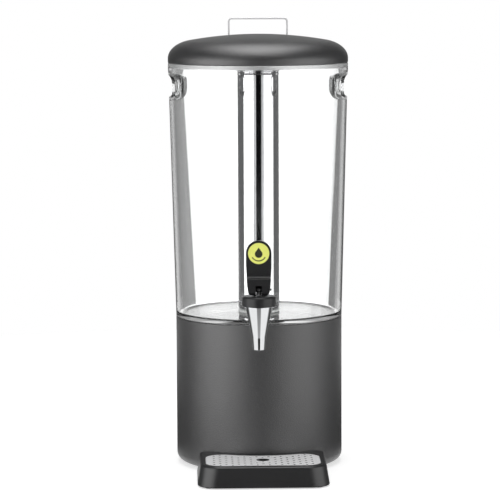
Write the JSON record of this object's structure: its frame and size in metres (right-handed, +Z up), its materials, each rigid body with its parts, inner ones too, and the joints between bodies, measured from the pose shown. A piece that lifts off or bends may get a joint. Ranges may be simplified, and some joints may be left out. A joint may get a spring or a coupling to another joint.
{
  "type": "juice dispenser",
  "caption": "Countertop juice dispenser: clear tapered vessel on a dark housing, with a self-closing lever tap, lift-out ice tube, domed lid and pull-out drip tray.",
  "frame": {"origin": "middle of the footprint, tray included, on the table under the feet", "axes": "+Z up along the housing's axis, -Y towards the person who stands in front of the tap, +X to that person's right"},
  "size_m": [0.227, 0.3076, 0.5638],
  "materials": {
    "housing_grey": "fine texture, satin",
    "clear_plastic": "clear, polished",
    "black_plastic": "satin",
    "tray_black": "smooth matte",
    "black_rubber": "matte",
    "clear_silicone": "milky, satin",
    "tap_chrome": "bright",
    "polished_steel": "polished",
    "brushed_steel": "brushed",
    "lime_green": "satin"
  },
  "bodies": {
    "base": {"base_shell": "housing_grey", "support_ring": "black_plastic", "base_plate": "black_plastic", "base_screw_1": "brushed_steel", "base_screw_2": "brushed_steel", "base_screw_3": "brushed_steel", "base_screw_4": "brushed_steel", "foot_1": "black_rubber", "foot_2": "black_rubber", "foot_3": "black_rubber", "foot_4": "black_rubber"},
    "container": {"container": "clear_plastic", "tap_body": "tap_chrome", "tap_gasket_outer": "clear_silicone", "tap_gasket_inner": "clear_silicone", "tap_washer": "polished_steel", "tap_nut": "polished_steel", "tap_collar": "black_plastic", "valve_spring": "polished_steel"},
    "valve_stem": {"valve_stem": "polished_steel", "valve_seat": "clear_silicone", "lever_pin": "polished_steel"},
    "lever": {"lever": "black_plastic", "lever_disc": "lime_green"},
    "ice_tube": {"ice_tube": "polished_steel", "ice_tube_foot": "clear_silicone"},
    "ice_stopper": {"ice_tube_stopper": "black_plastic", "ice_tube_seal": "clear_silicone"},
    "lid": {"lid_shell": "housing_grey", "lid_seal": "clear_silicone", "lid_handle": "polished_steel", "handle_screw_1": "brushed_steel", "handle_screw_2": "brushed_steel"},
    "drip_tray": {"tray_body": "tray_black", "tray_foot_1": "black_rubber", "tray_foot_2": "black_rubber", "tray_foot_3": "black_rubber", "tray_foot_4": "black_rubber"},
    "grate": {"tray_grate": "brushed_steel"}
  },
  "joints": [
    {"name": "container_lift", "type": "slide", "parent": "base", "child": "container", "axis": [0, 0, 1], "range_m": [0, 0.06]},
    {"name": "tube_lift", "type": "slide", "parent": "container", "child": "ice_tube", "axis": [0, 0, 1], "range_m": [0, 0.34]},
    {"name": "stopper_lift", "type": "slide", "parent": "ice_tube", "child": "ice_stopper", "axis": [0, 0, 1], "range_m": [0, 0.04]},
    {"name": "lid_lift", "type": "slide", "parent": "ice_stopper", "child": "lid", "axis": [0, 0, 1], "range_m": [0, 0.12]},
    {"name": "stem_lift", "type": "slide", "parent": "container", "child": "valve_stem", "axis": [0, 0, 1], "range_m": [0, 0.003], "stiffness_N_per_m": 1200, "springref_m": -0.005, "deforming": ["valve_spring"]},
    {"name": "lever_tilt", "type": "hinge", "parent": "valve_stem", "child": "lever", "pos_m": [0, -0.09969, 0.23661], "axis": [1, 0, 0], "range_deg": [0, 50]},
    {"name": "tray_pull", "type": "slide", "parent": "base", "child": "drip_tray", "axis": [0.0297, -0.9996, 0], "range_m": [0, 0.1]},
    {"name": "grate_lift", "type": "slide", "parent": "drip_tray", "child": "grate", "axis": [0, 0, 1], "range_m": [0, 0.05]}
  ],
  "couplings": [
    {"joint": "lever_tilt", "follows": "stem_lift", "rad_per_m": 290.89}
  ]
}
